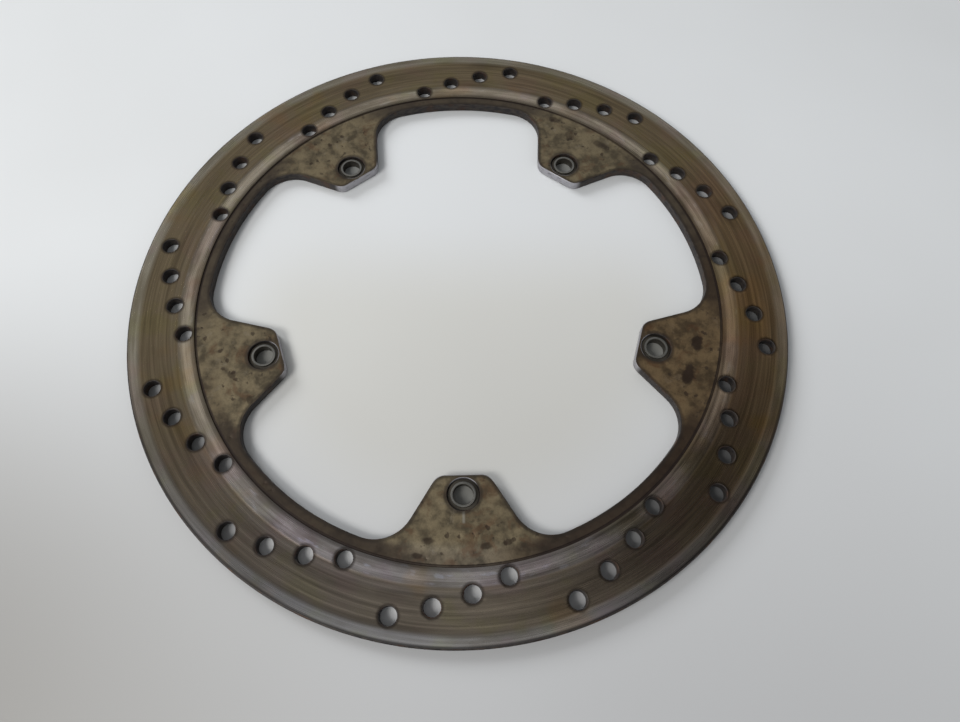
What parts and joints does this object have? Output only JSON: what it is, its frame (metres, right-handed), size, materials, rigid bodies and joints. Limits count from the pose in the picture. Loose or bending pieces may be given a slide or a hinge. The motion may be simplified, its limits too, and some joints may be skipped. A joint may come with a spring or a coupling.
{
  "type": "motorcycle brake disc",
  "caption": "Flat drilled brake disc, made as one steel ring with inward lugs that hold floating flanged mounting bushes on spring washers.",
  "frame": {"origin": "middle of the disc, on the plane of the face that it lies on", "axes": "+Z along the wheel's axle line towards the side that the bushes go in from, -Y towards lug 1"},
  "size_m": [0.3, 0.3, 0.005],
  "materials": {
    "disc_steel": "used stainless steel, fine turned scratches, brown tarnish, light rust and grime",
    "bush_steel": "worn zinc-plated steel with a grimy flange, a rubbed neck and a bright bore",
    "washer_steel": "dull spring steel"
  },
  "bodies": {
    "disc": {"brake_disc": "disc_steel"},
    "washer_1": {"spring_washer_1": "washer_steel"},
    "bush_1": {"mounting_bush_1": "bush_steel"},
    "washer_2": {"spring_washer_2": "washer_steel"},
    "bush_2": {"mounting_bush_2": "bush_steel"},
    "washer_3": {"spring_washer_3": "washer_steel"},
    "bush_3": {"mounting_bush_3": "bush_steel"},
    "washer_4": {"spring_washer_4": "washer_steel"},
    "bush_4": {"mounting_bush_4": "bush_steel"},
    "washer_5": {"spring_washer_5": "washer_steel"},
    "bush_5": {"mounting_bush_5": "bush_steel"}
  },
  "joints": [
    {"name": "washer_1_flatten", "type": "slide", "parent": "disc", "child": "washer_1", "axis": [0, 0, 1], "range_m": [-0.00025, 0], "stiffness_N_per_m": 2000, "deforming": ["spring_washer_1"]},
    {"name": "bush_1_lift", "type": "slide", "parent": "washer_1", "child": "bush_1", "axis": [0, 0, 1], "range_m": [0, 0.0018]},
    {"name": "washer_2_flatten", "type": "slide", "parent": "disc", "child": "washer_2", "axis": [0, 0, 1], "range_m": [-0.00025, 0], "stiffness_N_per_m": 2000, "deforming": ["spring_washer_2"]},
    {"name": "bush_2_lift", "type": "slide", "parent": "washer_2", "child": "bush_2", "axis": [0, 0, 1], "range_m": [0, 0.0018]},
    {"name": "washer_3_flatten", "type": "slide", "parent": "disc", "child": "washer_3", "axis": [0, 0, 1], "range_m": [-0.00025, 0], "stiffness_N_per_m": 2000, "deforming": ["spring_washer_3"]},
    {"name": "bush_3_lift", "type": "slide", "parent": "washer_3", "child": "bush_3", "axis": [0, 0, 1], "range_m": [0, 0.0018]},
    {"name": "washer_4_flatten", "type": "slide", "parent": "disc", "child": "washer_4", "axis": [0, 0, 1], "range_m": [-0.00025, 0], "stiffness_N_per_m": 2000, "deforming": ["spring_washer_4"]},
    {"name": "bush_4_lift", "type": "slide", "parent": "washer_4", "child": "bush_4", "axis": [0, 0, 1], "range_m": [0, 0.0018]},
    {"name": "washer_5_flatten", "type": "slide", "parent": "disc", "child": "washer_5", "axis": [0, 0, 1], "range_m": [-0.00025, 0], "stiffness_N_per_m": 2000, "deforming": ["spring_washer_5"]},
    {"name": "bush_5_lift", "type": "slide", "parent": "washer_5", "child": "bush_5", "axis": [0, 0, 1], "range_m": [0, 0.0018]}
  ]
}
